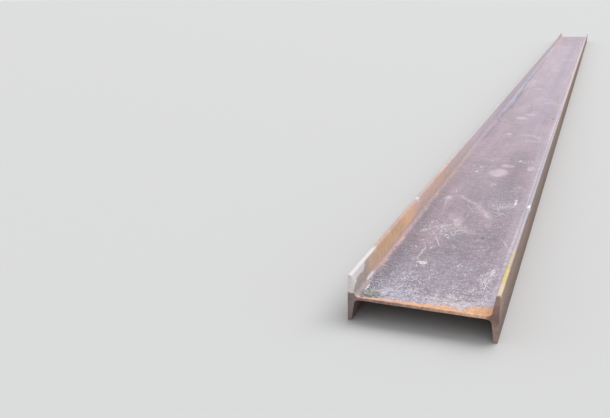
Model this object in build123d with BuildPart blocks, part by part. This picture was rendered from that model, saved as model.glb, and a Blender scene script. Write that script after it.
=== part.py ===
from build123d import *

import os
from math import radians, tan

# Hot-rolled steel I-beam with tapered flanges: one length of stock, lying on its side.
# The beam runs along Y. Its web lies level, so its depth runs along X, its flanges stand up along Z,
# and it rests on the lower toes of both flanges. The origin is on the floor, at the middle of the
# length and of the depth. Sizes are in millimetres and angles in degrees.

# Rolled section
depth = 450.0  # over the outer faces of the two flanges
flange_width = 150.0  # from toe to toe
web_thickness = 9.4
flange_thickness = 17.4  # where it is measured: halfway between the web's face and the toe
flange_slope = 8.0  # lean of a flange's inner face from its outer face
root_radius = 15.0  # hollow corner between the web and a flange
toe_radius = 7.5  # inner edge of a toe, rounded by the rolls
arris_radius = 1.5  # outer edge of a toe, nearly sharp

# Stock
length = 12000.0

# Places on one quarter of the section, from the middle of the web
outer_face = depth / 2
web_face = web_thickness / 2
toe = flange_width / 2

# The flange's inner face, at the toe and where it meets the plane of the web's face
outstand = toe - web_face
half_taper = outstand / 2 * tan(radians(flange_slope))
toe_thickness = flange_thickness - half_taper
inner_face_at_toe = outer_face - toe_thickness
inner_face_at_web = outer_face - flange_thickness - half_taper

# The section is drawn on the near end, looking along the beam, with the web's middle as its centre
near_end = Plane(origin=(0, -length / 2, toe), x_dir=(1, 0, 0), z_dir=(0, -1, 0))

with BuildPart() as i_beam:
    with BuildSketch(near_end) as section:
        # Half of one flange with its share of the web
        with BuildLine() as quarter:
            Polyline(
                (0, 0),
                (outer_face, 0),
                (outer_face, toe),
                (inner_face_at_toe, toe),
                (inner_face_at_web, web_face),
                (0, web_face),
                close=True,
            )
        make_face()

        # The rounded corners: the hollow root, the toe's inner edge and its outer arris
        corners = section.vertices()
        fillet(corners.sort_by_distance((inner_face_at_web, web_face))[0], radius=root_radius)
        fillet(section.vertices().sort_by_distance((inner_face_at_toe, toe))[0], radius=toe_radius)
        fillet(section.vertices().sort_by_distance((outer_face, toe))[0], radius=arris_radius)

        # The other flange half, then the other flange
        mirror(about=Plane.XZ)
        mirror(about=Plane.YZ)
    extrude(amount=-length)

i_beam.part.label = "i_beam"

os.makedirs("parts", exist_ok=True)
export_step(i_beam.part, "parts/i_beam.step")
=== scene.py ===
# %% [markdown]
# # A rusted steel I-beam, lying on its side
#
# The beam is one bar of hot-rolled steel, 12 m long. The rolls leave a skin of mill scale on it, and a
# few seasons outdoors cover that with a thin mauve-brown rust film, fresh orange rust where the scale
# has come off, pale dust, and some paint and dirt near the end that faces us.
#
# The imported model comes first. It is a fixed frame: everything new is fitted to it and it never moves.

# %% Load the frame
import itertools
import math

import bpy
import numpy as np
from mathutils import Matrix, Vector
from mathutils.geometry import delaunay_2d_cdt


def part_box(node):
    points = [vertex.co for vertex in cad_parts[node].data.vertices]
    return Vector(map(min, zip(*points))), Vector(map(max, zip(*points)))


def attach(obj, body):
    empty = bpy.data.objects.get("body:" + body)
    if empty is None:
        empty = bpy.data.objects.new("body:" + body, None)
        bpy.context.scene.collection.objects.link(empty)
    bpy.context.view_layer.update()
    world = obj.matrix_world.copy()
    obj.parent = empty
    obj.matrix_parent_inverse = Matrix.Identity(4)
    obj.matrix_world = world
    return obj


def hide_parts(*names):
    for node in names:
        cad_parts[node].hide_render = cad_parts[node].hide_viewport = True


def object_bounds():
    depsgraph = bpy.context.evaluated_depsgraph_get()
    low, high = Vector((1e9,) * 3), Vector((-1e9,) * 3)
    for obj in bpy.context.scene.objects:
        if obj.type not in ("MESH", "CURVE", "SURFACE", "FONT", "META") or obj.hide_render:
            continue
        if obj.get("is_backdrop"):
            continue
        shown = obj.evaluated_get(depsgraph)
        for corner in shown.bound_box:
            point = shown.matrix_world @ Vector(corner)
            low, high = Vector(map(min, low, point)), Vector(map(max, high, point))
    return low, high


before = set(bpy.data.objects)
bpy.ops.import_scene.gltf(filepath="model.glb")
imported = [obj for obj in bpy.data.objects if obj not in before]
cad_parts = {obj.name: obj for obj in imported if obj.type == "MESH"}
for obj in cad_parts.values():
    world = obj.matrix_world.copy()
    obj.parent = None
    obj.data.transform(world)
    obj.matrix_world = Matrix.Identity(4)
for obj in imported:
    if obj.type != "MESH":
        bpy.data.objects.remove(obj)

cad_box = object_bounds()
print("the packed beam spans", [[round(float(v), 4) for v in corner] for corner in cad_box])

# %% [markdown]
# ## The beam's own places
#
# Later steps talk about the near end, the web's face or the flanges' toes, so these places get names
# once. The outside comes from the frame. The section's inner sizes are those of the rolled section.

# %% Name the places on the beam
low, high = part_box("i_beam")
NEAR_END, FAR_END = low.y, high.y
HALF_DEPTH = high.x
TOP = high.z
WEB_MIDDLE = TOP / 2

WEB_THICKNESS = 0.0094
FLANGE_THICKNESS = 0.0174
FLANGE_SLOPE = math.radians(8)
ROOT_RADIUS = 0.015
TOE_RADIUS = 0.0075
ARRIS_RADIUS = 0.0015

WEB_TOP = WEB_MIDDLE + WEB_THICKNESS / 2
print("length", round(FAR_END - NEAR_END, 3), "depth", round(2 * HALF_DEPTH, 3), "width", round(TOP, 3))

# %% [markdown]
# ## The camera
#
# The photograph looks down along the beam from just right of it, at about hip height. A camera has
# three directions of its own: right, up and backwards. Writing them as the columns of a matrix places
# it exactly, which is easier to check than three chained turns.

# %% Place the camera
PICTURE_WIDTH = 610
FOCAL_PIXELS = 701
CAMERA_PLACE = Vector((0.407, NEAR_END - 1.856, 0.97))
TURN_LEFT, LOOK_DOWN, ROLL = (math.radians(a) for a in (22.43, 17.32, 1.12))

ahead = Vector((
    -math.sin(TURN_LEFT) * math.cos(LOOK_DOWN),
    math.cos(TURN_LEFT) * math.cos(LOOK_DOWN),
    -math.sin(LOOK_DOWN),
))
level_right = Vector((math.cos(TURN_LEFT), math.sin(TURN_LEFT), 0))
level_down = ahead.cross(level_right)
right = level_right * math.cos(ROLL) + level_down * math.sin(ROLL)
up = right.cross(ahead)


def new_object(name, data):
    """An object that shows a mesh, a camera or a lamp, linked into the scene."""
    thing = bpy.data.objects.new(name, data)
    bpy.context.scene.collection.objects.link(thing)
    return thing


camera_data = bpy.data.cameras.new("camera")
camera_data.lens = FOCAL_PIXELS / PICTURE_WIDTH * camera_data.sensor_width
camera_data.clip_end = 500
camera = new_object("camera", camera_data)
camera.matrix_world = Matrix.Translation(CAMERA_PLACE) @ Matrix((right, up, -ahead)).transposed().to_4x4()
bpy.context.scene.camera = camera
print("lens", round(camera_data.lens, 2), "mm")

# %% [markdown]
# ## Colours and nodes
#
# Colours are picked as sRGB hex values, as a painter reads them off a chart, and Blender's shaders want
# linear light, so one function does the change. Another adds a shader node, sets it and links it, and three short
# ones use it for what comes up most: arithmetic, a ramp, and one colour laid over another.

# %% Helpers for materials
def linear(hex_colour):
    """sRGB hex to linear RGBA: divide by 12.92 in the dark, a power of 2.4 above it."""
    srgb = [int(hex_colour[i:i + 2], 16) / 255 for i in (0, 2, 4)]
    return [c / 12.92 if c <= 0.04045 else ((c + 0.055) / 1.055) ** 2.4 for c in srgb] + [1.0]


def add(tree, kind, inputs=None, **settings):
    """Adds one shader node. An input is a value, or a socket of another node to link from."""
    node = tree.nodes.new("ShaderNode" + kind)
    for name, value in settings.items():
        setattr(node, name, value)
    for key, value in (inputs or {}).items():
        if isinstance(value, bpy.types.NodeSocket):
            tree.links.new(value, node.inputs[key])
        else:
            node.inputs[key].default_value = value
    return node


def combine(tree, operation, *values):
    """Arithmetic on up to three values or sockets."""
    return add(tree, "Math", dict(enumerate(values)), operation=operation).outputs[0]


def ramp(tree, value, start, end, low=0.0, high=1.0):
    """Turns the range from start to end into the one from low to high, and holds it at both ends."""
    return add(tree, "MapRange", {"Value": value, 1: start, 2: end, 3: low, 4: high}).outputs[0]


def cover(tree, amount, below, above):
    """One colour laid over another by an amount from 0 to 1."""
    return add(tree, "Mix", {0: amount, 6: below, 7: above}, data_type="RGBA").outputs[2]


def new_material(name):
    """An empty material with its output node."""
    material = bpy.data.materials.new(name)
    material.use_nodes = True
    material.node_tree.nodes.clear()
    return material, material.node_tree


print("white is", linear("ffffff"))

# %% [markdown]
# ## Floor and light
#
# A plain pale floor and a soft studio sky. The sky alone gives a bit over half of the light, and one
# wide, soft lamp high behind the beam gives the rest, so its end is in gentle shade, as under a cloudy
# sky. Added up, a level white card comes out just under white, so colours render about as written.

# %% Make the floor, the sky and the lamp
SKY_LIGHT = 0.58
LAMP_LIGHT = 1.65
LAMP_FROM = Vector((0.28, 0.5, 0.82))
LAMP_WIDTH = math.radians(50)
FLOOR_REACH = 150.0

floor_material, tree = new_material("studio_floor")
floor_shader = add(tree, "BsdfPrincipled", {"Base Color": linear("dddcda"), "Roughness": 0.9})
add(tree, "OutputMaterial", {"Surface": floor_shader.outputs[0]})

angles = np.linspace(0, 2 * math.pi, 96, endpoint=False)
rim = np.stack([np.cos(angles), np.sin(angles), np.zeros_like(angles)], 1) * FLOOR_REACH
floor_mesh = bpy.data.meshes.new("floor")
floor_mesh.from_pydata(rim.tolist(), [], [list(range(len(rim)))])
floor_mesh.materials.append(floor_material)
floor = new_object("floor", floor_mesh)
floor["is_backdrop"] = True

world = bpy.data.worlds.new("studio_sky")
world.use_nodes = True
tree = world.node_tree
tree.nodes.clear()
rays = add(tree, "LightPath")
seen = combine(tree, "MAXIMUM", rays.outputs["Is Camera Ray"], rays.outputs["Is Glossy Ray"])
seen = combine(tree, "MAXIMUM", seen, rays.outputs["Is Transmission Ray"])
lights = add(tree, "Background", {"Color": linear("f7faff"), "Strength": SKY_LIGHT})
shows = add(tree, "Background", {"Color": linear("e6e6e8"), "Strength": 1.0})
sky = add(tree, "MixShader", {0: seen, 1: lights.outputs[0], 2: shows.outputs[0]})
add(tree, "OutputWorld", {"Surface": sky.outputs[0]})
bpy.context.scene.world = world

lamp_data = bpy.data.lights.new("soft_lamp", "SUN")
lamp_data.energy = LAMP_LIGHT
lamp_data.angle = LAMP_WIDTH
lamp = new_object("soft_lamp", lamp_data)
lamp.rotation_euler = LAMP_FROM.to_track_quat("Z", "Y").to_euler()

bpy.context.scene.view_settings.view_transform = "Standard"
level_white = SKY_LIGHT + LAMP_LIGHT * LAMP_FROM.normalized().z / math.pi
print("a level white card renders at", round(level_white, 2))

# %% [markdown]
# ## The section
#
# The rolls shape the whole length at once, so the beam is a profile carried along a path. A quarter of
# the profile goes from the middle of the web out to the flange, up its sloping inner face, over the
# toe and down to the middle of the flange's outer face. Its corners are arcs, and the other three
# quarters are mirror images.

# %% Draw the profile
def arc(before, corner, after, radius, steps):
    """Points on the arc that rounds a corner: it touches both legs at radius / tan(half the angle)
    from the corner, and its centre lies on the line that halves the angle, radius / sin(half) away."""
    before, corner, after = (np.array(p, float) for p in (before, corner, after))
    leg_in = (before - corner) / np.linalg.norm(before - corner)
    leg_out = (after - corner) / np.linalg.norm(after - corner)
    half = math.acos(leg_in @ leg_out) / 2
    middle = (leg_in + leg_out) / np.linalg.norm(leg_in + leg_out)
    centre = corner + middle * radius / math.sin(half)
    start = corner + leg_in * radius / math.tan(half) - centre
    end = corner + leg_out * radius / math.tan(half) - centre
    t = np.linspace(0, 1, steps + 1)[:, None]
    sweep = math.pi - 2 * half
    return centre + (np.sin((1 - t) * sweep) * start + np.sin(t * sweep) * end) / math.sin(sweep)


def stretch(start, end, steps):
    """Evenly spaced points from start towards end, without the end itself."""
    t = np.arange(steps)[:, None] / steps
    return np.array(start) * (1 - t) + np.array(end) * t


def quarter_profile(web_steps, face_steps, corner_steps):
    """One quarter of the section: points (across, up) from the web's middle out to the flange's."""
    web_face, toe = WEB_THICKNESS / 2, TOP / 2
    half_taper = (toe - web_face) / 2 * math.tan(FLANGE_SLOPE)
    at_toe = HALF_DEPTH - FLANGE_THICKNESS + half_taper
    at_web = HALF_DEPTH - FLANGE_THICKNESS - half_taper
    root = arc((0, web_face), (at_web, web_face), (at_toe, toe), ROOT_RADIUS, corner_steps)
    toe_edge = arc((at_web, web_face), (at_toe, toe), (HALF_DEPTH, toe), TOE_RADIUS, corner_steps)
    arris = arc((at_toe, toe), (HALF_DEPTH, toe), (HALF_DEPTH, 0), ARRIS_RADIUS, 3)
    return np.concatenate([
        stretch((0, web_face), root[0], web_steps), root[:-1], stretch(root[-1], toe_edge[0], face_steps),
        toe_edge[:-1], stretch(toe_edge[-1], arris[0], 2), arris[:-1],
        stretch(arris[-1], (HALF_DEPTH, 0), face_steps),
    ])


upper = quarter_profile(28, 5, 6)
lower = quarter_profile(7, 3, 4) * (1, -1)
right_half = np.concatenate([upper, [(HALF_DEPTH, 0)], lower[:0:-1], [(0, -WEB_THICKNESS / 2)]])
left_half = (right_half * (-1, 1))[-2:0:-1]
profile = np.concatenate([right_half, left_half]) + (0, WEB_MIDDLE)
print("the profile has", len(profile), "points")

# %% [markdown]
# ## Stations along the length
#
# The camera stands at one end, so the near end needs a fine mesh and the far end a coarse one.
# Each stretch of the length has its own spacing, which keeps the beam under 200,000 triangles.

# %% Space the stations
def stations():
    """Distances along the beam: evenly spaced within each stretch, finest at the two cut ends."""
    stretches = (  # from, to, spacing
        (0.0, 0.0008, 0.0008), (0.0008, 0.1, 0.0032), (0.1, 0.5, 0.006), (0.5, 1.6, 0.0095),
        (1.6, 3.0, 0.015), (3.0, 6.0, 0.024), (6.0, 11.9, 0.042), (11.9, 11.9992, 0.006),
        (11.9992, 12.0, 0.0008),
    )
    parts = [np.linspace(a, b, max(1, round((b - a) / gap)), endpoint=False) for a, b, gap in stretches]
    return NEAR_END + np.concatenate(parts + [[FAR_END - NEAR_END]])


along = stations()
print(len(along), "stations,", 2 * len(along) * len(profile), "triangles along the sides")

# %% [markdown]
# ## Relief
#
# Real steel isn't flat: the rolls leave it slightly wavy, the scale lifts in plates a fraction of a
# millimetre thick, rust eats pits, and the toes get knocked. Value noise gives all of these: random
# numbers on a lattice in space, joined smoothly. Because it reads a point's place in space and not its
# place on the profile, it has no seam.

# %% Write the noise
LATTICE = 64


def smooth(t):
    """An S-curve from 0 to 1."""
    t = np.clip(t, 0, 1)
    return t * t * (3 - 2 * t)


def cloud(points, cell, seed):
    """Value noise from -1 to 1. The lattice cell has the given size in metres along X, Y and Z. The
    eight corners of the cell around each point are weighed by smoothed distances."""
    table = np.random.default_rng(seed).uniform(-1, 1, (LATTICE,) * 3)
    place = points / np.array(cell)
    base = np.floor(place).astype(int)
    part = smooth(place - base)
    total = np.zeros(points.shape[:-1])
    for corner in itertools.product((0, 1), repeat=3):
        weight = np.prod(np.where(corner, part, 1 - part), axis=-1)
        index = (base + corner) % LATTICE
        total += weight * table[index[..., 0], index[..., 1], index[..., 2]]
    return total


print("noise at one point", cloud(np.array([[0.2, 0.3, 0]]), (0.1, 0.1, 0.1), 1).round(2))

# %% Lay the profile along the stations
skin = np.empty((len(along), len(profile), 3))
skin[..., 0] = profile[:, 0]
skin[..., 1] = along[:, None]
skin[..., 2] = profile[:, 1]

tangent = np.roll(profile, -1, axis=0) - np.roll(profile, 1, axis=0)
inward = np.stack([tangent[:, 1], -tangent[:, 0]], 1) / np.linalg.norm(tangent, axis=1)[:, None]
inward *= np.sign((inward[0] * (0, -1)).sum()) or 1
print("at the top of the web inward is", inward[0].round(2))

# %% Press the relief into the skin
WAVE_DEPTH = 0.00025
PLATE_DEPTH = 0.00025
PIT_DEPTH = 0.0003
NICK_COUNT = 70


def relief(points):
    """Depth of the surface below its nominal place: long waves, plates of lifted scale, and pits."""
    waves = WAVE_DEPTH * (cloud(points, (0.15, 0.7, 0.15), 11) + 1) / 2
    plates = cloud(points, (0.035, 0.06, 0.035), 12) + 0.5 * cloud(points, (0.014, 0.018, 0.014), 13)
    pits = cloud(points, (0.012, 0.014, 0.012), 14)
    return waves + PLATE_DEPTH * smooth(plates * 3) + PIT_DEPTH * smooth((pits - 0.55) * 4)


def nicks(points):
    """Dents knocked into the toes: bell curves along the length, fading away from the toe's edge."""
    rng = np.random.default_rng(21)
    depth = np.zeros(points.shape[:-1])
    edge = smooth((np.abs(points[..., 2] - WEB_MIDDLE) - (WEB_MIDDLE - 0.006)) / 0.006)
    for _ in range(NICK_COUNT):
        centre = NEAR_END + (FAR_END - NEAR_END) * rng.random() ** 1.6
        side, end, size = rng.choice((-1, 1)), rng.choice((-1, 1)), rng.uniform(0.004, 0.018)
        here = (np.sign(points[..., 0]) == side) & (np.sign(points[..., 2] - WEB_MIDDLE) == end)
        depth += here * size * 0.1 * np.exp(-((points[..., 1] - centre) / size) ** 2)
    return depth * edge


depth = relief(skin)
dents = nicks(skin)
skin[..., 0] += inward[:, 0] * depth
skin[..., 2] += inward[:, 1] * depth - np.sign(skin[..., 2] - WEB_MIDDLE) * dents
print("relief is up to", f"{depth.max() * 1000:.2f} mm deep, the deepest dent {dents.max() * 1000:.2f} mm")

# %% [markdown]
# ## The cut ends
#
# The beam was cut to length with a torch. The cut is nearly square but its face is uneven by a
# millimetre or so, and its edge is a little rounded. The end face is filled by a triangulation of a
# scatter of inner points inside the outline, so it can be uneven too.

# %% Shape and fill the ends
CUT_DEPTH = 0.0016
CUT_REACH = 0.02
EDGE_ROUND = 0.0005
FILL_SPACING = 0.0035
# The two cuts: name, row of the skin, place, seed of its noise, and the way into the beam
CUTS = (("near", 0, NEAR_END, 41, 1), ("far", -1, FAR_END, 43, -1))


def cut(points, seed):
    """How far the torch strayed into the beam: broad waves and finer drag marks, never outwards."""
    broad = cloud(points, (0.06, 1, 0.03), seed)
    fine = cloud(points, (0.007, 1, 0.007), seed + 1)
    return CUT_DEPTH * (0.65 * (broad + 1) / 2 + 0.35 * (fine + 1) / 2)


def inside(points, ring):
    """True where a point lies in the outline: a ray from it crosses the ring an odd number of times."""
    a, b = ring, np.roll(ring, -1, axis=0)
    x, y = points[:, None, 0], points[:, None, 1]
    spans = (a[:, 1] > y) != (b[:, 1] > y)
    rise = np.where(b[:, 1] == a[:, 1], 1, b[:, 1] - a[:, 1])
    crossing = a[:, 0] + (y - a[:, 1]) * (b[:, 0] - a[:, 0]) / rise
    return (spans & (x < crossing)).sum(1) % 2 == 1


def end_fill(ring):
    """Inner points and triangles of an end face. Points nearer the outline than half a step are left out."""
    xs = np.arange(ring[:, 0].min(), ring[:, 0].max(), FILL_SPACING)
    zs = np.arange(ring[:, 1].min(), ring[:, 1].max(), FILL_SPACING)
    grid = np.stack(np.meshgrid(xs, zs), -1).reshape(-1, 2)
    grid = grid + np.random.default_rng(31).uniform(-0.25, 0.25, grid.shape) * FILL_SPACING
    grid = grid[inside(grid, ring)]
    gaps = np.linalg.norm(grid[:, None] - ring[None], axis=2).min(1)
    grid = grid[gaps > FILL_SPACING / 2]
    count = len(ring)
    edges = [(i, (i + 1) % count) for i in range(count)]
    points = [Vector(p) for p in np.concatenate([ring, grid])]
    flat, _, faces, sources, _, _ = delaunay_2d_cdt(points, edges, [list(range(count))], 1, 1e-7)
    assert len(flat) == len(points) and all(s[0] == i for i, s in enumerate(sources))
    return grid, np.array(faces)


rings = {}
for name, row, _, seed, towards in CUTS:
    ring = skin[row]
    ring[:, 0] += inward[:, 0] * EDGE_ROUND
    ring[:, 2] += inward[:, 1] * EDGE_ROUND
    stray = cut(ring * (1, 0, 1), seed)
    fade = smooth(1 - np.abs(along - along[row]) / CUT_REACH)[:, None]
    skin[..., 1] += towards * fade * stray
    rings[name] = skin[row][:, [0, 2]].copy()
fills = {name: end_fill(ring) for name, ring in rings.items()}
print("inner points on the end faces:", {name: len(fill[0]) for name, fill in fills.items()})

# %% [markdown]
# ## One closed mesh
#
# The sides are a grid of quads that wraps round the profile, and each end face shares the grid's first
# or last ring. The far face's triangles are turned round so that every face points outwards.

# %% Join the sides and the ends
def tube_quads(rows, cols):
    """Quads between neighbouring rows of a grid whose columns wrap round."""
    row, col = np.arange(rows - 1)[:, None] * cols, np.arange(cols)
    turn = (col + 1) % cols
    return np.stack([row + col, row + turn, row + turn + cols, row + col + cols], -1).reshape(-1, 4)


def join_skin():
    """Vertices and faces of the whole beam as plain arrays."""
    rows, cols = skin.shape[:2]
    vertices, triangles = [skin.reshape(-1, 3)], []
    total = rows * cols
    for name, row, end, seed, towards in CUTS:
        inner, faces = fills[name]
        flat = np.stack([inner[:, 0], np.zeros(len(inner)), inner[:, 1]], 1)
        flat[:, 1] = end + towards * cut(flat * (1, 0, 1), seed)
        ids = np.concatenate([row % rows * cols + np.arange(cols), total + np.arange(len(inner))])
        faces = ids[faces]
        triangles.append(faces if towards > 0 else faces[:, ::-1])
        vertices.append(flat)
        total += len(inner)
    return np.concatenate(vertices), tube_quads(rows, cols), np.concatenate(triangles)


vertices, quads, triangles = join_skin()
print(len(vertices), "vertices,", 2 * len(quads) + len(triangles), "triangles")


# %% Make the beam's mesh
def mesh_piece(name, points, faces_lists, material):
    """A mesh object from arrays of faces with 3 or 4 corners, smooth shaded, riding on the beam."""
    mesh = bpy.data.meshes.new(name)
    mesh.from_pydata(points.tolist(), [], [f for faces in faces_lists for f in faces.tolist()])
    mesh.shade_smooth()
    mesh.materials.append(material)
    piece = new_object(name, mesh)
    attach(piece, "root")
    return piece


steel, tree = new_material("hot_rolled_steel_mill_scale_and_rust")
beam = mesh_piece("rusted_beam", vertices, (quads, triangles), steel)
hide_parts("i_beam")

mesh = beam.data
pairs = np.empty(len(mesh.edges) * 2, int)
mesh.edges.foreach_get("vertices", pairs)
pairs = pairs.reshape(-1, 2)
last_ring = (len(along) - 1) * len(profile)
on_ring = (pairs < len(profile)).all(1) | ((pairs >= last_ring) & (pairs < last_ring + len(profile))).all(1)
sharp = mesh.attributes.new("sharp_edge", "BOOLEAN", "EDGE")
sharp.data.foreach_set("value", on_ring)
print(int(on_ring.sum()), "sharp edges round the two cuts")

# %% [markdown]
# ## Where the rust, dust and paint lie
#
# Marks that sit at a place on the beam are painted into the mesh as numbers from 0 to 1, one per
# vertex. The material reads them and breaks their edges up with noise, so they never look stencilled.

# %% Name the zones of the skin
x, y, z = vertices.T
from_near = y - NEAR_END
upper_side = smooth((z - WEB_MIDDLE) / 0.002)
on_web = smooth((0.204 - np.abs(x)) / 0.01) * upper_side
inner_face = smooth((np.abs(x) - 0.19) / 0.012) * smooth((0.2235 - np.abs(x)) / 0.001) * upper_side
left_inner, right_inner = inner_face * (x < 0), inner_face * (x > 0)
toe = smooth((z - (TOP - 0.0065)) / 0.004)
left_toe, right_toe = toe * (x < 0), toe * (x > 0)
near_face, far_face = smooth(1.6 - from_near / 0.003), smooth(1.6 - (FAR_END - y) / 0.003)
OUTER_SKIN = HALF_DEPTH - 0.0012
print("zones of", len(vertices), "vertices named")


# %% Shapes of marks
# Places on the web are listed in millimetres: across from the middle, and along from the near end
across_mm, along_mm = x * 1000, from_near * 1000


def spot(cx, cy, rx, ry):
    """A soft oval on the web's upper face: 1 in its middle, 0.5 at its edge, bell-shaped."""
    return 0.5 ** (((across_mm - cx) / rx) ** 2 + ((along_mm - cy) / ry) ** 2) * on_web


def trail(path, width):
    """A soft stripe along straight legs: the distance to the nearest leg, bell-shaped across."""
    nearest = np.full(len(x), np.inf)
    for start, end in zip(path, path[1:]):
        leg = np.subtract(end, start)
        past_x, past_y = across_mm - start[0], along_mm - start[1]
        t = np.clip((past_x * leg[0] + past_y * leg[1]) / (leg @ leg), 0, 1)
        nearest = np.minimum(nearest, np.hypot(past_x - t * leg[0], past_y - t * leg[1]))
    return 0.5 ** ((nearest / (width / 2)) ** 2) * on_web


def stretch_of(start, end, fade):
    """1 between two distances from the near end, fading out over a third one."""
    return smooth((from_near - start) / fade + 0.5) * smooth((end - from_near) / fade + 0.5)


def bell(values, middle, reach):
    """A bell curve: 1 in its middle and about a third at its reach."""
    return np.exp(-((values - middle) / reach) ** 2)


def by_distance(distances, values):
    """Straight lines between the values given at some distances from the near end."""
    return np.interp(from_near, distances, values)


marks = {}
print("a spot covers", int((spot(0, 1700, 40, 90) > 0.5).sum()), "vertices")

# %% [markdown]
# The web first. Its film is paler the further it lies from the near end, except at the far end: rain
# bleached it, and a painted sheen adds to that. Water stood and dried in pools, lime ran off something,
# and rust eats in from the cut edge.

# %% Mark the web
# Where water stood and dried: across, along, half width, half length, strength
DRIED_POOLS = (
    (8, 1658, 43, 84, 1.0), (36, 1815, 34, 36, 0.75), (153, 1785, 18, 46, 0.8),
    (-39, 3270, 42, 48, 0.9), (0, 3440, 44, 38, 0.8), (30, 3560, 26, 28, 0.5), (96, 4020, 40, 60, 0.55),
    (75, 4200, 48, 40, 0.55), (-50, 4840, 46, 60, 0.55), (-143, 1145, 18, 26, 0.8),
    (-140, 5420, 25, 70, 0.5), (-96, 9700, 80, 120, 0.3), (0, 6400, 60, 110, 0.4),
    (-83, 755, 14, 16, 0.5), (-40, 830, 20, 45, 0.4), (60, 7600, 70, 100, 0.4),
)
# Smears, as lines of points with a width and a strength
SMEARS = (
    (((-101, 1200), (-72, 1160), (-17, 1090)), 14, 0.65),
    (((-17, 1090), (22, 1015), (62, 918)), 26, 0.65), (((50, 950), (72, 890), (80, 800)), 36, 0.35),
    (((-82, 912), (-56, 837), (-24, 769), (16, 710)), 40, 0.6),
    (((38, 2654), (76, 2665), (114, 2625), (140, 2560)), 36, 0.7),
    (((69, 2483), (114, 2488), (164, 2472)), 50, 0.6),
)
# Lime washed off something: across, along, half width, half length
LIME = (
    (-75, 350, 16, 26), (168, 350, 9, 25), (155, 290, 13, 35), (142, 235, 10, 20), (158, 160, 20, 40),
    (50, 360, 10, 14), (115, 1100, 50, 55), (-100, 1700, 30, 80), (14, 1420, 22, 30),
    (-90, 700, 60, 80), (-140, 1140, 20, 50), (120, 1930, 50, 40), (-90, 210, 25, 50),
    (-110, 100, 40, 30), (85, 85, 35, 20), (119, 146, 10, 14), (136, 1390, 20, 50), (-60, 1940, 60, 50),
)
# Paler with the distance: film bleached by rain, and a painted sheen of the sky on the far web
marks["washed_and_sheen"] = upper_side * by_distance(
    (0.3, 1, 2, 5, 7.5, 9.5, 10.5, 12), (0, 0.26, 0.42, 0.84, 1, 0.95, 0.7, 0.52))
marks["lilac_band"] = on_web * bell(x, 0.08, 0.04) * smooth((from_near - 1.8) / 2.5)
marks["shade"] = on_web * bell(x, 0.09, 0.05) * stretch_of(0.1, 2.2, 0.4)
marks["shade"] += 0.5 * on_web * bell(x, -0.01, 0.06) * stretch_of(0.06, 0.25, 0.08)
marks["pools"] = sum(strength * np.clip(4 * spot(*oval) - 1.5, 0, 1) for *oval, strength in DRIED_POOLS)
marks["pools"] += sum(strength * trail(path, width) for path, width, strength in SMEARS)

# Rust along the cut edge, in a strip of changing width, hidden by dust in two places
strip_width = np.interp(x, (-0.2, -0.12, 0, 0.1, 0.19), (0.014, 0.022, 0.025, 0.036, 0.06))
dusty_gap = 0.9 * spot(112, 35, 18, 20) + 0.8 * spot(-175, 35, 30, 30)
edge_rust = smooth((0.209 - np.abs(x)) / 0.006) * upper_side * (z < 0.095)
edge_rust = edge_rust * np.clip(0.5 + (strip_width - from_near) / 0.01, 0, 1) - dusty_gap
no_rust = 1 - np.clip(edge_rust, 0, 1)
toe_rust = left_toe * stretch_of(0.3, 1.3, 0.3)
marks["edge_rust"] = edge_rust + 0.15 * toe_rust
marks["pink_edge"] = edge_rust * smooth((0.01 - x) / 0.14)

# Lime in the places listed and a haze of it that thins out with the distance
lime = 0.8 * sum(spot(*oval) for oval in LIME)
lime += on_web * by_distance((0.1, 0.35, 0.7, 1.3, 2, 3), (0.85, 0.45, 0.22, 0.2, 0.12, 0.05))
lime += 0.22 * smooth(x / 0.08) * stretch_of(0.45, 1.4, 0.4) * on_web
marks["lime"] = lime * no_rust

# Bluish dust near the end, paler along the cut and warmer to the right
swept = 0.35 * smooth((x + 0.1) / 0.06) * stretch_of(0.05, 0.25, 0.08)
dust = on_web * (0.75 * smooth(1 - from_near / 0.62) + 0.25 * smooth(1 - from_near / 1.8))
marks["dust"] = dust * (1 - 0.5 * spot(115, 200, 50, 60)) * (1 - swept)
edge_dust = on_web * by_distance((0.045, 0.12), (1, 0)) * np.interp(np.abs(x), (0.06, 0.12), (0.6, 1))
marks["edge_dust"] = edge_dust * no_rust * smooth((x + 0.18) / 0.03)
marks["warm_dust"] = marks["edge_dust"] * smooth((x + 0.04) / 0.1)
print(len(marks), "marks on the web")

# %% [markdown]
# The left flange leans towards the sky. Its near end is rusted orange and ochre above a pink foot, its
# corner is whitewashed over grime, and further off a torn, bluish skin follows its root. Along the root
# and under the skin's torn edges, shade is painted in dark lines and ticks.

# %% Mark the left flange and its root
# Painted shade along the root: one long line, then ticks under the torn skin's edges by across, along, half width
# and half length
SHADE_LINE = (
    (-182, 2500), (-180, 2800), (-168, 3100), (-196, 3200), (-160, 3750), (-170, 4450), (-186, 5100),
    (-180, 6400), (-188, 8000),
)
SHADE_TICKS = (
    (-196, 3440, 7, 60), (-163, 3740, 8, 80), (-170, 4340, 8, 60), (-181, 5020, 8, 70),
    (-190, 5450, 7, 80), (-196, 5850, 7, 90),
)
# The torn skin's bluish patches: place along the beam, reach, strength
BLUE_PATCHES = ((-2.76, 0.11, 0.7), (-1.8, 0.17, 1.0), (-1.15, 0.1, 0.5), (-0.45, 0.3, 0.55))

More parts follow.
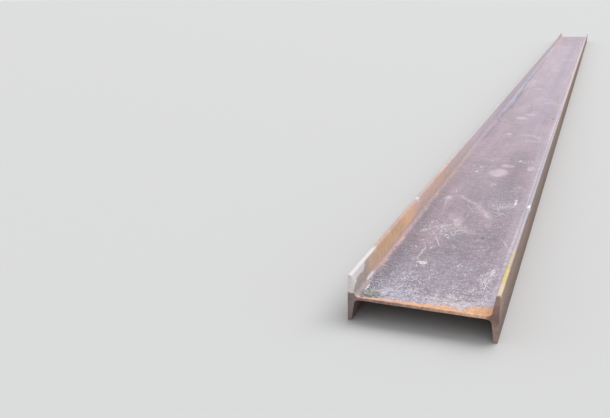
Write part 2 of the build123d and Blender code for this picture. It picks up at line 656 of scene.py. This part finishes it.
root_shade = 0.8 * trail(SHADE_LINE, 12) + sum(spot(*oval) for oval in SHADE_TICKS)
root_shade += 0.9 * spot(-168, 4470, 10, 130) + 0.55 * spot(-178, 150, 18, 50)
# Painted shade in a band beside the left flange near the end
near_root = smooth((-0.135 - x) / 0.03) * on_web * stretch_of(0.1, 1.5, 0.2)
marks["root_shade"] = root_shade + by_distance((0.1, 0.6, 1.4), (0.8, 0.6, 0.3)) * near_root
blue = sum(strength * bell(y, middle, reach) for middle, reach, strength in BLUE_PATCHES)
blue += 0.35 * stretch_of(3.3, 5.9, 0.7)
marks["blue_root"] = blue * smooth((-0.16 - x) / 0.025) * smooth((0.112 - z) / 0.02) * upper_side
# A painted shadow under the edge of the grass clump
marks["clump_shadow"] = 1.4 * bell(x, -0.182, 0.011) * bell(y, -5.919, 0.012) * upper_side
marks["stain"] = bell(x, -0.2022, 0.0026) * stretch_of(0.125, 0.205, 0.05) * upper_side * (z < 0.11)
# A painted bluish shadow beside the stain
marks["stain_shadow"] = bell(x, -0.1925, 0.005) * bell(y, -5.825, 0.035) * upper_side

above_root = smooth((z - 0.086) / 0.01)
foot = left_inner * smooth((0.104 - z) / 0.012)
settled = 0.8 * smooth((z - 0.0805) / 0.008) + 0.2 * smooth((z - 0.1) / 0.02)
marks["flange_dust"] = left_inner * settled * (1 - 0.22 * stretch_of(0.75, 1.5, 0.3)) + 0.6 * right_inner
marks["flange_grey"] = left_inner * smooth((z - 0.098) / 0.015) * stretch_of(3.2, 10, 1.5)
rust = 0.95 * stretch_of(0.2, 0.77, 0.34) + 0.4 * stretch_of(0.8, 1.5, 0.5)
far_rust = 0.2 * smooth((-0.16 - x) / 0.02) * on_web * stretch_of(10.6, 12.1, 0.8)
marks["flange_rust"] = left_inner * above_root * rust + far_rust
ochre = 0.75 * stretch_of(0.12, 0.62, 0.08) + 0.35 * stretch_of(1, 2, 0.6)
marks["flange_ochre"] = left_inner * ochre + 0.25 * foot * stretch_of(0.9, 2, 0.6)
root_pink = 0.8 * stretch_of(0.2, 0.6, 0.2) + 0.35 * stretch_of(0.6, 1.8, 0.3)
root_pink *= left_inner * (1 - above_root) * smooth((z - 0.0805) / 0.003)
far_pink = 0.8 * smooth((-0.15 - x) / 0.03) * on_web * stretch_of(9.4, 12.1, 0.8)
far_pink += 1.4 * left_inner * stretch_of(11, 12.1, 0.4)
marks["flange_pink"] = foot * stretch_of(0.32, 0.85, 0.1) + root_pink + far_pink + toe_rust

marks["left_toe"] = left_toe
marks["grime"] = left_inner * stretch_of(-0.1, 0.15, 0.08)
high_up = 0.25 * smooth((z - 0.095) / 0.02) + 0.6 * smooth((z - 0.118) / 0.014)
whitewash = left_toe * stretch_of(-0.1, 0.26, 0.1) + (x < -0.2) * near_face * above_root
whitewash += left_inner * stretch_of(-0.1, 0.13, 0.08) * high_up
whitewash += 0.35 * left_inner * stretch_of(-0.1, 0.034, 0.015) * smooth((z - 0.092) / 0.01)
marks["whitewash"] = whitewash
print(len(marks), "marks with those of the left flange")

# %% [markdown]
# The right flange shows its toe, painted yellow and peach near the end, and its outer face, which no
# rain washes: bare brown, with clouds of rust on the sides that the sky doesn't reach. Painted light
# brightens its root, and painted shade darkens the lower outer face and the middle of its cut end.

# %% Mark the right flange, the outer faces and the cuts
yellow = stretch_of(0.088, 0.215, 0.03) + 0.42 * stretch_of(0.2, 0.37, 0.05)
marks["yellow_paint"] = right_toe * yellow
marks["peach"] = right_toe * stretch_of(-0.1, 0.1, 0.03)
marks["right_toe"] = right_toe
marks["toe_blue"] = right_toe * stretch_of(0.75, 1.5, 0.4)
marks["toe_pale"] = right_toe * smooth((from_near - 2.8) / 1.5)
marks["toe_orange"] = right_toe * smooth((x - 0.2195) / 0.001) * by_distance((2, 3.5), (0, 0.55))
# Painted light: the right root and the web just beside it painted near white, where the flange's shade falls
root_start = by_distance((0.03, 0.08, 0.6, 1.2), (0.19, 0.18, 0.182, 0.186))
root_zone = smooth((x - root_start) / 0.01) * upper_side * (x < 0.2235) * (1 - toe)
marks["right_root_painted_light"] = root_zone * by_distance((0.05, 0.12), (0.4, 1))
# Painted light: the web by the right flange is painted paler against the flange's shade; by the left root it is a
# little paler too
right_painted_light = smooth((x - 0.145) / 0.045) * upper_side
right_painted_light *= by_distance((0, 0.5, 2, 9.5, 11), (0.8, 0.7, 1, 1, 0.4))
left_side = 0.3 * smooth((-0.165 - x) / 0.02) * on_web
left_side *= smooth((from_near - 2) / 3) * smooth((10.5 - from_near) / 3)
marks["pale_side_and_painted_light"] = right_painted_light + left_side

bare = np.maximum(smooth((np.abs(x) - OUTER_SKIN) / 0.0008) * (1 - toe), 1 - upper_side)
marks["bare_side"] = bare * (1 - 0.4 * (x > 0.2) * smooth((from_near - 7) / 3))
# Tan on the top of the right outer face, over the darker bare coat, which is left below as painted shade
outer_lit_top = (x > OUTER_SKIN) * smooth((z - 0.04) / 0.07)
marks["outer_lit_top"] = outer_lit_top * by_distance((0, 1, 3, 8), (1, 0.8, 0.6, 0.9))
underside = (1 - upper_side) * (np.abs(x) < OUTER_SKIN) * smooth(from_near - 0.8)
marks["rust_clouds"] = 0.5 * (x < -OUTER_SKIN) * (1 - toe) + 0.5 * underside

# Painted shade across the middle of the right cut end, and painted light at its top and bottom
right_end = near_face * (x > 0.19)
marks["end_shade"] = right_end * bell(z, 0.08, 0.022)
marks["end_painted_light"] = right_end * (smooth((z - 0.11) / 0.02) + smooth((0.065 - z) / 0.02))
marks["end_grey"] = near_face * (x < -0.2) * smooth((0.096 - z) / 0.01)
marks["cut_face"] = near_face + far_face
cut_web = (near_face + 0.5 * far_face) * smooth((0.2 - np.abs(x)) / 0.02)
marks["cut_web"] = cut_web * np.interp(x, (-0.2, 0.05, 0.15), (0.05, 0.45, 0.9))

for name, values in marks.items():
    layer = mesh.attributes.new(name, "FLOAT", "POINT")
    layer.data.foreach_set("value", np.clip(values, 0, 1).astype(np.float32))
    print(f"{name} covers {(values > 0.5).mean():.1%} of the vertices")

# %% [markdown]
# ## Steel with mill scale and rust
#
# Hot-rolled steel outdoors is not a metal to the eye: a skin of iron oxide covers it, so metallic is 0
# and the sheen comes from the oxide, which is denser than paint and reflects more. The colours are
# layers, each laid over the last by a mask: mauve scale film, long rolling streaks, fine grain, dust,
# dried pools, orange rust, paint.

# %% Make the patterns
coords = add(tree, "TexCoord").outputs["Object"]


def noise(scale, detail=4.0, rough=0.6, drawn=(1, 1, 1)):
    """Noise from about 0.2 to 0.8. Scale counts the blobs per metre, and a number below 1 in drawn
    stretches them along that axis."""
    vector = add(tree, "Mapping", {"Vector": coords, "Scale": drawn}).outputs[0]
    settings = {"Vector": vector, "Scale": scale, "Detail": detail, "Roughness": rough}
    return add(tree, "TexNoise", settings).outputs[0]


film = noise(9, 6, 0.6, (1, 0.2, 1))  # clouds of 110 mm, drawn out 5 times along the rolling direction
bands = noise(38, 3, 0.5, (1, 0.03, 1))  # rolling bands 25 mm wide and nearly a metre long
dried = noise(75, 4, 0.6, (0.12, 1, 1))  # lines across the web, 13 mm apart, where rain dried in the wind
patches = noise(24, 8, 0.68)  # rust patches of 40 mm with ragged edges
blotches = noise(70, 5, 0.65)  # blotches of 14 mm
grain = noise(170, 5, 0.7)  # rust grain of 6 mm, coarser than the real one so that it shows
flecks = noise(120, 4, 0.7, (1, 0.5, 1))  # flecks 8 mm wide and 16 mm long, drawn out by the rolls
specks = noise(260, 2, 0.5)  # specks of 4 mm
drag = noise(330, 2, 0.5, (1, 1, 0.06))  # drag lines of the torch, 3 mm apart, up and down the cut
print(len(tree.nodes), "nodes so far")

# %% Lay the coats
# Mauve mill scale under a thin rust film comes first, and each coat covers some of what lies below
SCALE_MAUVE, SCALE_PINK = "8f7f88", "9c8287"
between = add(tree, "MapRange", {"Value": film, 1: 0.36, 2: 0.64}, interpolation_type="SMOOTHSTEP")
colour = cover(tree, between.outputs[0], linear(SCALE_MAUVE), linear(SCALE_PINK))

# A coat: colour, the mark it follows, its noise, how ragged that makes it, and opacity
COATS = (
    ("c2aeba", "washed_and_sheen", film, 0.25, 1.0),
    ("a89cae", "lilac_band", bands, 0.5, 0.75),
    ("cbbec8", "pale_side_and_painted_light", bands, 0.3, 0.9),
    ("7e6a63", "bare_side", patches, 0.15, 1.0),
    ("a67b60", "rust_clouds", film, 1.0, 0.7),
    ("6b5c5b", "rust_clouds", bands, 0.9, 0.45),
    ("a18775", "outer_lit_top", patches, 0.3, 0.8),
    ("84737f", "shade", film, 0.3, 0.48),
    ("d9cdd4", "flange_dust", film, 0.1, 1.0),
    ("babfb8", "flange_grey", film, 1.0, 0.38),
    ("b0b4cc", "blue_root", film, 1.0, 0.75),
    ("fdecf5", "right_root_painted_light", bands, 0.2, 1.0),
    # The toes' pale and bluish coats are partly a painted highlight: the sky's reflection on their rounding
    ("d6c9cb", "left_toe", grain, 0.3, 1.0),
    ("c8bac3", "right_toe", grain, 0.3, 1.0),
    ("b4b6c0", "toe_blue", blotches, 0.8, 0.8),
    ("ebdfdd", "toe_pale", blotches, 0.5, 1.0),
    ("d8a88c", "toe_orange", blotches, 0.8, 0.9),
    ("a39dac", "dust", blotches, 0.6, 0.9),
    ("cdc7d3", "edge_dust", blotches, 0.8, 0.7),
    ("d3c1ba", "warm_dust", blotches, 0.8, 0.7),
    ("d2bcc2", "pools", blotches, 0.15, 0.9),
    ("75707e", "root_shade", patches, 0.4, 0.6),
    ("f2b98e", "edge_rust", blotches, 0.3, 0.95),
    ("eabfae", "pink_edge", blotches, 0.7, 0.85),
    ("ffcb9c", "flange_rust", patches, 0.35, 0.95),
    ("d2b18f", "flange_ochre", patches, 0.9, 0.8),
    ("cbaaa8", "flange_pink", patches, 0.7, 0.7),
    ("b0a296", "grime", blotches, 0.5, 0.85),
    ("efe8f6", "stain", grain, 0.3, 0.9),
    ("746d86", "stain_shadow", grain, 0.3, 0.7),
    ("3a3436", "clump_shadow", grain, 0.3, 0.95),
    ("9f8078", "cut_face", patches, 0.0, 1.0),
    ("8a8286", "end_grey", patches, 0.3, 0.6),
    ("f6ccaa", "cut_web", blotches, 0.4, 1.0),
    ("7f5f54", "end_shade", grain, 0.3, 0.55),
    ("b89c92", "end_painted_light", grain, 0.3, 0.55),
    ("f1ece9", "whitewash", patches, 0.4, 0.95),
    ("f8dbbd", "peach", blotches, 0.2, 1.0),
    ("ecd389", "yellow_paint", blotches, 0.3, 1.0),
)
PRESENT = 0.02  # a mark fainter than this isn't there, so its noise can't bring it out
CRISP = ("left_toe", "edge_rust", "stain", "clump_shadow", "cut_face", "whitewash")
masks = {}
for coat, mark, pattern, ragged, opacity in COATS:
    amount = add(tree, "Attribute", attribute_name=mark).outputs["Fac"]
    present = combine(tree, "GREATER_THAN", amount, PRESENT)
    swing = combine(tree, "MULTIPLY_ADD", pattern, 4 * ragged, -2 * ragged)
    swing = combine(tree, "MULTIPLY_ADD", swing, present, amount)
    start, end = (0.38, 0.62) if mark in CRISP else (0, 1)
    mask = ramp(tree, swing, start, end, high=opacity)
    colour = cover(tree, mask, colour, linear(coat))
    masks[mark] = mask
print(len(COATS), "coats laid")

# %% Speckle the surface
# Each pattern also lightens and darkens the colour a little: how dark its lows are, how light its highs
TONES = (
    (grain, 0.8, 1.18), (flecks, 0.84, 1.15), (blotches, 0.95, 1.05), (dried, 0.88, 1.12),
    (bands, 0.94, 1.06), (patches, 0.93, 1.07), (film, 0.92, 1.08),
)
tone = 1.0
for pattern, darkest, lightest in TONES:
    step = ramp(tree, pattern, 0.3, 0.7, darkest, lightest)
    tone = combine(tree, "MULTIPLY", tone, step)
# The standing faces shed the rain and are calmer than the web
calm = combine(tree, "MULTIPLY", masks["flange_dust"], 0.6)
tone = add(tree, "Mix", {0: calm, 2: tone, 3: 1.0}).outputs[0]
colour = add(tree, "VectorMath", {0: colour, "Scale": tone}, operation="SCALE").outputs[0]

# Lime dries to specks where the fine noise peaks, more of them where a patch of lime or a blotch is
lime = add(tree, "Attribute", attribute_name="lime").outputs["Fac"]
on_top = combine(tree, "GREATER_THAN", lime, PRESENT)
peaks = combine(tree, "MULTIPLY_ADD", lime, 0.13, specks)
peaks = combine(tree, "MULTIPLY_ADD", blotches, 0.35, peaks)
limed = combine(tree, "MULTIPLY", ramp(tree, peaks, 0.87, 0.92, high=0.95), on_top)
colour = cover(tree, limed, colour, linear("ece5ee"))

# Pits show dark where the blotches are lowest
pits = ramp(tree, blotches, 0.3, 0.24, high=0.35)
colour = cover(tree, pits, colour, linear("6a585c"))

# Single splashes and stains: place, radius and colour
SPLASHES = (
    ((0.2235, -5.118, 0.148), 0.021, "ffffff"),
    ((-0.2165, -5.135, 0.146), 0.018, "ece4e2"), ((0.081, -5.341, 0.0797), 0.006, "453539"),
    ((0.171, -2.707, 0.0797), 0.012, "51424a"),
)
for place, radius, splash_colour in SPLASHES:
    away = add(tree, "VectorMath", {0: coords, 1: place}, operation="DISTANCE").outputs["Value"]
    away = combine(tree, "MULTIPLY_ADD", grain, radius * 1.2, away)
    splash = ramp(tree, away, radius * 1.8, radius * 1.4, high=0.9)
    colour = cover(tree, splash, colour, linear(splash_colour))
print("steel has", len(tree.nodes), "nodes")

# %% Roughen and bump the surface
rough = ramp(tree, film, 0.3, 0.7, 0.4, 0.54)
for mark in ("dust", "edge_rust", "flange_rust", "cut_face", "bare_side"):
    rough = add(tree, "Mix", {0: masks[mark], 2: rough, 3: 0.8}).outputs[0]

cut_height = combine(tree, "MULTIPLY", drag, masks["cut_face"])
height = combine(tree, "MULTIPLY_ADD", patches, 0.6, grain)
height = combine(tree, "MULTIPLY_ADD", cut_height, 1.5, height)
bump = add(tree, "Bump", {"Height": height, "Strength": 0.7, "Distance": 0.0009}).outputs[0]
shader = add(tree, "BsdfPrincipled", {"Base Color": colour, "Roughness": rough, "Normal": bump})
add(tree, "OutputMaterial", {"Surface": shader.outputs[0]})
print("steel has", len(tree.nodes), "nodes")

# %% [markdown]
# ## Dirt, roots and flakes on the web
#
# The web lies level, so things land on it and stay: crumbs of soil, fine dry roots, flakes of lime.
# Each is a small closed surface of two parameters: rings of points from one end to the other, with a
# point at each end. Hundreds are worked out at once, as one array with a row for every piece.

# %% Close rings of points
def closed(rings, first, last):
    """Rings (pieces, rings, sides, 3) closed by an end point each: quads between neighbouring rings and
    fans to the end points. Rings turn anticlockwise about the way from first to last."""
    pieces, count, sides, _ = rings.shape
    points = np.concatenate([rings.reshape(pieces, -1, 3), first[:, None], last[:, None]], 1)
    side = np.arange(sides)
    turn = (side + 1) % sides
    end = (count - 1) * sides
    start_fan = np.stack([turn, side, np.full(sides, count * sides)], 1)
    end_fan = np.stack([end + side, end + turn, np.full(sides, count * sides + 1)], 1)
    shift = np.arange(pieces)[:, None, None] * (count * sides + 2)
    fans = np.concatenate([start_fan, end_fan]) + shift
    quads = tube_quads(count, sides) + shift
    return points.reshape(-1, 3), quads.reshape(-1, 4), fans.reshape(-1, 3)


def clumps(places, sizes, flatness, ragged, rings, sides):
    """Lumps: a sphere's latitude and longitude, its radius made ragged at random, then flattened."""
    count = len(places)
    lat = np.linspace(-math.pi / 2, math.pi / 2, rings + 2)[1:-1][None, :, None]
    lon = (rng.uniform(0, 6.3, (count, 1, 1)) + np.arange(sides) * 2 * math.pi / sides)
    lump = sizes[:, None, None] * rng.uniform(1 - ragged, 1 + ragged, (count, 1, sides))
    lump = lump * rng.uniform(0.85, 1.15, (count, rings, sides))
    ball = np.stack([np.cos(lat) * np.cos(lon), np.cos(lat) * np.sin(lon), np.sin(lat) + 0 * lon], -1)
    widths = rng.uniform(0.7, 1.3, (count, 1, 1, 2))
    body = ball * lump[..., None] * np.concatenate([widths, np.full((count, 1, 1, 1), flatness)], -1)
    poles = np.zeros((2, count, 3))
    poles[:, :, 2] = sizes * flatness * np.array([[-1], [1]])
    return closed(body + places[:, None, None], poles[0] + places, poles[1] + places)


def strands(paths, radius, flatness, sides=6):
    """Roots and stalks: an oval section carried along each path, in the plane across the path, its
    radius falling to a fifth at both ends by the root of a half sine."""
    ahead = np.gradient(paths, axis=1)
    ahead /= np.linalg.norm(ahead, axis=2, keepdims=True) + 1e-12
    aside = np.cross(ahead, (0, 0, 1.0))
    aside /= np.linalg.norm(aside, axis=2, keepdims=True) + 1e-12
    over = np.cross(aside, ahead)
    t = np.linspace(0, 1, paths.shape[1])
    taper = np.maximum(np.sqrt(np.sin(np.pi * t)), 0.2)[None, :, None, None]
    angle = -np.arange(sides) * 2 * math.pi / sides
    aside, over = aside[:, :, None], over[:, :, None]
    spokes = np.cos(angle)[:, None] * aside + flatness * np.sin(angle)[:, None] * over
    rings = paths[:, :, None] + spokes * radius[:, None, None, None] * taper
    tip = 0.0003 * ahead
    return closed(rings, paths[:, 0] - tip[:, 0], paths[:, -1] + tip[:, -1])


def loose_piece(name, surfaces, material):
    """One mesh object of many closed surfaces. Their volume comes from the divergence theorem: the sum
    of each triangle's triple product, divided by 6."""
    points, quads, fans = surfaces
    mesh_piece(name, points, (quads, fans), material)
    a, b, c = points[np.concatenate([quads[:, [0, 1, 2]], quads[:, [0, 2, 3]], fans])].swapaxes(0, 1)
    volume = np.einsum("ij,ij->", a, np.cross(b, c)) / 6
    print(name, "holds", round(volume * 1e6, 2), "cubic centimetres")


# %% A plain material for loose things
def loose_material(name, dark, light, scale, rough):
    """Two colours mixed by noise whose blobs are a few millimetres wide."""
    material, tree = new_material(name)
    where = add(tree, "TexCoord").outputs["Object"]
    mottle = add(tree, "TexNoise", {"Vector": where, "Scale": scale, "Detail": 3.0}).outputs[0]
    mottle = ramp(tree, mottle, 0.35, 0.65)
    mixed = cover(tree, mottle, linear(dark), linear(light))
    bump = add(tree, "Bump", {"Height": mottle, "Strength": 0.5, "Distance": 0.0005}).outputs[0]
    shader = add(tree, "BsdfPrincipled", {"Base Color": mixed, "Roughness": rough, "Normal": bump})
    add(tree, "OutputMaterial", {"Surface": shader.outputs[0]})
    return material


soil = loose_material("dry_soil", "9b918c", "c6beb9", 260, 0.95)
lime_crust = loose_material("lime_crust", "ddd6dc", "f7f3f5", 200, 0.8)
dry_root = loose_material("dry_root", "e4dadb", "f8f4f5", 60, 0.75)
dry_grass = loose_material("dry_grass", "8f9893", "e2e0d8", 90, 0.8)

# %% Scatter crumbs and flakes
rng = np.random.default_rng(51)
REST = WEB_TOP - 0.0004
SIDE_REACH = 0.185
NEAR_REACH = NEAR_END + 0.006


def metres(mm):
    """Places in metres, from millimetres across and along from the near end."""
    return np.array(mm) / 1000 + (0, NEAR_END)


def on_the_web(xy, height):
    """Places on the web, kept off the fillets and off the cut edge."""
    xy = np.stack([np.clip(xy[:, 0], -SIDE_REACH, SIDE_REACH), np.maximum(xy[:, 1], NEAR_REACH)], 1)
    return np.concatenate([xy, np.broadcast_to(height, (len(xy),))[:, None]], 1)


thin = np.stack([rng.uniform(-185, 185, 500), 60 + 900 * rng.random(500) ** 1.7], 1)
heap = rng.normal((-175, 37), (13, 9), (170, 2))
places = metres(np.concatenate([thin, heap]))
sizes = np.concatenate([rng.uniform(0.0006, 0.0014, len(thin)), rng.uniform(0.001, 0.0034, len(heap))])
crumbs = clumps(on_the_web(places, REST + sizes * 0.3), sizes, 0.7, 0.2, 3, 6)
loose_piece("soil_crumbs", crumbs, soil)

# Broken flakes of lime lie in groups: middle and spread across and along, count, size
FLAKES = (
    (-76, 350, 8, 10, 14, 6), (146, 1148, 1.5, 24, 34, 5.4), (-57, 2666, 3, 6, 4, 12),
    (89, 1940, 3, 8, 3, 6), (150, 1940, 3, 6, 3, 5), (-93, 1783, 2, 18, 5, 5.5),
    (-104, 1657, 4, 8, 4, 6.5), (-130, 1770, 4, 8, 3, 5.5), (160, 325, 4, 18, 22, 4.2),
    (50, 364, 3, 6, 4, 2.4), (102, 1065, 16, 14, 12, 4.5), (155, 115, 5, 16, 4, 2.6),
    (14, 1430, 10, 14, 5, 5), (-105, 560, 14, 30, 5, 3), (165.7, 132.1, 1, 1, 2, 4),
    (170, 122.3, 1, 1, 2, 4), (-20, 710, 10, 14, 6, 4.5), (42, 353, 6, 2, 8, 3),
    (118, 1335, 8, 4, 5, 4), (87, 1935, 3, 6, 3, 6), (-55, 635, 1, 2, 3, 4), (-41, 622, 1, 2, 3, 4),
    (-53, 653, 1, 2, 2, 4), (-91, 746, 3, 6, 4, 4), (-142, 1150, 6, 8, 6, 4.5),
    (101, 608, 2, 4, 3, 2.6), (-48, 423, 1, 2, 2, 2.4), (-4, 413, 1, 2, 2, 2.2),
    (20, 402, 2, 3, 2, 2.4), (92, 407, 2, 3, 2, 2.4), (47, 370, 1, 6, 5, 2.6), (-9, 319, 1, 3, 2, 2.4),
)
groups = [(rng.normal(f[:2], f[2:4], (f[4], 2)), f[5] * rng.uniform(0.5, 1.3, f[4])) for f in FLAKES]
extra = np.stack([rng.uniform(-170, 170, 260), 1800 * rng.random(260) ** 1.2], 1)
places = metres(np.concatenate([group for group, _ in groups] + [extra]))
sizes = np.concatenate([size for _, size in groups] + [rng.uniform(0.9, 2.8, len(extra))]) / 1000
flakes = clumps(on_the_web(places, REST), sizes, 0.12, 0.5, 3, 10)
loose_piece("lime_flakes", flakes, lime_crust)

# %% Scatter roots and stalks
STEPS = 16
ROOT_REACH = 0.19
# Roots that show one by one: groups of one width, each with its lines of points
ROOT_GROUPS = (
    (2.6, (
        ((-190, 115), (-189, 85), (-187, 68), (-179, 58), (-167, 57), (-154, 62)),
    )),
    (1.7, (
        ((-139, 756), (-134, 790), (-124, 800), (-108, 779)),
        ((-160, 659), (-148, 676), (-138, 698), (-124, 709)),
        ((-64, 755), (-60, 776), (-50, 786), (-34, 765)),
        ((-85, 624), (-74, 581), (-64, 551), (-51, 522), (-37, 506)),
        ((-100, 516), (-95, 485), (-100, 451), (-96, 426), (-99, 400), (-104, 378)),
        ((-78, 480), (-74, 514), (-59, 509)), ((-152, 498), (-137, 498), (-124, 475)),
        ((-15, 721), (1, 715), (24, 692)), ((161, 451), (168, 459), (177, 469)),
        ((141, 668), (159, 640), (170, 610), (180, 581)), ((51, 1052), (69, 1043), (92, 1028)),
        ((90, 1072), (112, 1095), (129, 1086)), ((84, 996), (99, 973), (113, 985)),
        ((168, 359), (162, 311), (151, 273), (141, 235)), ((149, 334), (157, 346), (168, 359)),
        ((161, 268), (156, 216), (155, 167)), ((119, 146), (125, 180), (138, 193)),
        ((40, 348), (46, 360), (53, 370)),
    )),
    (1, (
        ((-14, 557), (-4, 539), (7, 521)), ((-46, 686), (-29, 656), (-17, 648)),
        ((84, 526), (100, 534), (119, 544)), ((55, 944), (75, 944), (95, 937)),
        ((99, 1002), (119, 973), (134, 943)), ((150, 941), (161, 980), (169, 1018)),
        ((56, 1016), (86, 976), (115, 936), (137, 917)), ((159, 825), (174, 830), (181, 865)),
        ((-143, 1119), (-138, 1057), (-131, 1013), (-128, 969)), ((127, 1336), (138, 1354)),
        ((-139, 1310), (-120, 1228)), ((163, 321), (174, 316)), ((-48, 1072), (-20, 1005)),
        ((-101, 175), (-93, 221), (-82, 270)), ((-102, 59), (-98, 92), (-95, 126)),
    )),
    (1.7, (
        ((-189.5, 64), (-167, 64), (-144, 72), (-132, 88)), ((-190, 105), (-190, 85), (-187, 68)),
    )),
    (1, (
        ((-180, 50), (-155, 42), (-130, 48)), ((-120, 95), (-95, 132), (-88, 150)),
    )),
)
ROOTS = [path for _, group in ROOT_GROUPS for path in group]
ROOT_WIDTHS = [width for width, group in ROOT_GROUPS for _ in group]
# Tangles of fine roots: middle, spread across and along, how many, how long
TANGLES = (
    (-75, 720, 45, 40, 60, 50), (100, 1060, 40, 45, 34, 40), (-100, 1720, 50, 80, 12, 35),
    (0, 220, 110, 110, 60, 24), (160, 320, 8, 28, 30, 35), (146, 255, 8, 20, 16, 30),
    (20, 1050, 100, 120, 18, 30), (-76, 350, 10, 12, 12, 24),
)


def resample(path):
    """Evenly spaced points along straight legs."""
    run = np.concatenate([[0], np.cumsum(np.linalg.norm(np.diff(path, axis=0), axis=1))])
    at = np.linspace(0, run[-1], STEPS)
    return np.stack([np.interp(at, run, places) for places in zip(*path)], 1)


def wander(middle, spread, count, length, turn=0.35):
    """Paths whose heading drifts: the running sum of small random turns."""
    heading = rng.uniform(0, 2 * math.pi, (count, 1)) + np.cumsum(rng.normal(0, turn, (count, STEPS)), 1)
    stride = length * rng.uniform(0.5, 1.5, (count, 1)) / STEPS
    steps = np.stack([np.cos(heading) * stride, np.sin(heading) * stride], -1)
    return rng.normal(middle, spread, (count, 2))[:, None] + np.cumsum(steps, 1)


def lay(paths, radius, lift):
    """Lays flat paths on the web, each rising and sinking by up to its lift. A path that would cross the
    cut edge or a fillet is moved back whole, so that none of its steps shrinks to nothing."""
    back = np.maximum((-ROOT_REACH, NEAR_REACH) - paths.min(1), 0)
    back[:, 0] -= np.maximum(paths[..., 0].max(1) - ROOT_REACH, 0)
    flat = paths + back[:, None]
    wave = np.abs(np.cumsum(rng.normal(0, 0.35, paths.shape[:2]), 1))
    height = REST + radius[:, None] + lift[:, None] * np.minimum(wave, 1)
    return np.concatenate([flat, height[..., None]], -1)


# The listed roots are shaken a little, so that their legs don't show, and each one forks
SHAKE = 1.3
listed = np.stack([resample(path) for path in ROOTS]) + rng.normal(0, SHAKE, (len(ROOTS), STEPS, 2))
forks = listed[:, 3:-3:3].reshape(-1, 2)
side_roots = wander((0, 0), (0, 0), len(forks), 16) + forks[:, None]
tangled = [wander((cx, cy), (sx, sy), count, length) for cx, cy, sx, sy, count, length in TANGLES]
paths = metres(np.concatenate([listed, side_roots] + tangled))
radius = rng.uniform(0.0006, 0.0013, len(paths))
radius[:len(listed)] = np.array(ROOT_WIDTHS) / 1000
roots = strands(lay(paths, np.full(len(paths), 0.0004), rng.uniform(0, 0.0003, len(paths))), radius, 0.3)
loose_piece("dry_roots", roots, dry_root)

stalks = metres(wander((-171, 36), (16, 9), 80, 26, 0.2))
radius = rng.uniform(0.0005, 0.0011, len(stalks))
grass = strands(lay(stalks, radius, rng.uniform(0.001, 0.006, len(stalks))), radius, 0.8)
loose_piece("grass_clump", grass, dry_grass)

# %% [markdown]
# ## The size
#
# Both boxes are printed: the solid's, and the one with everything added. Nothing added
# may make the beam larger than its solid.

# %% Write both sizes and finish
visual_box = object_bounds()
sizes = {"cad": [[float(v) for v in c] for c in cad_box], "visual": [[float(v) for v in c] for c in visual_box]}
print("sizes", sizes)
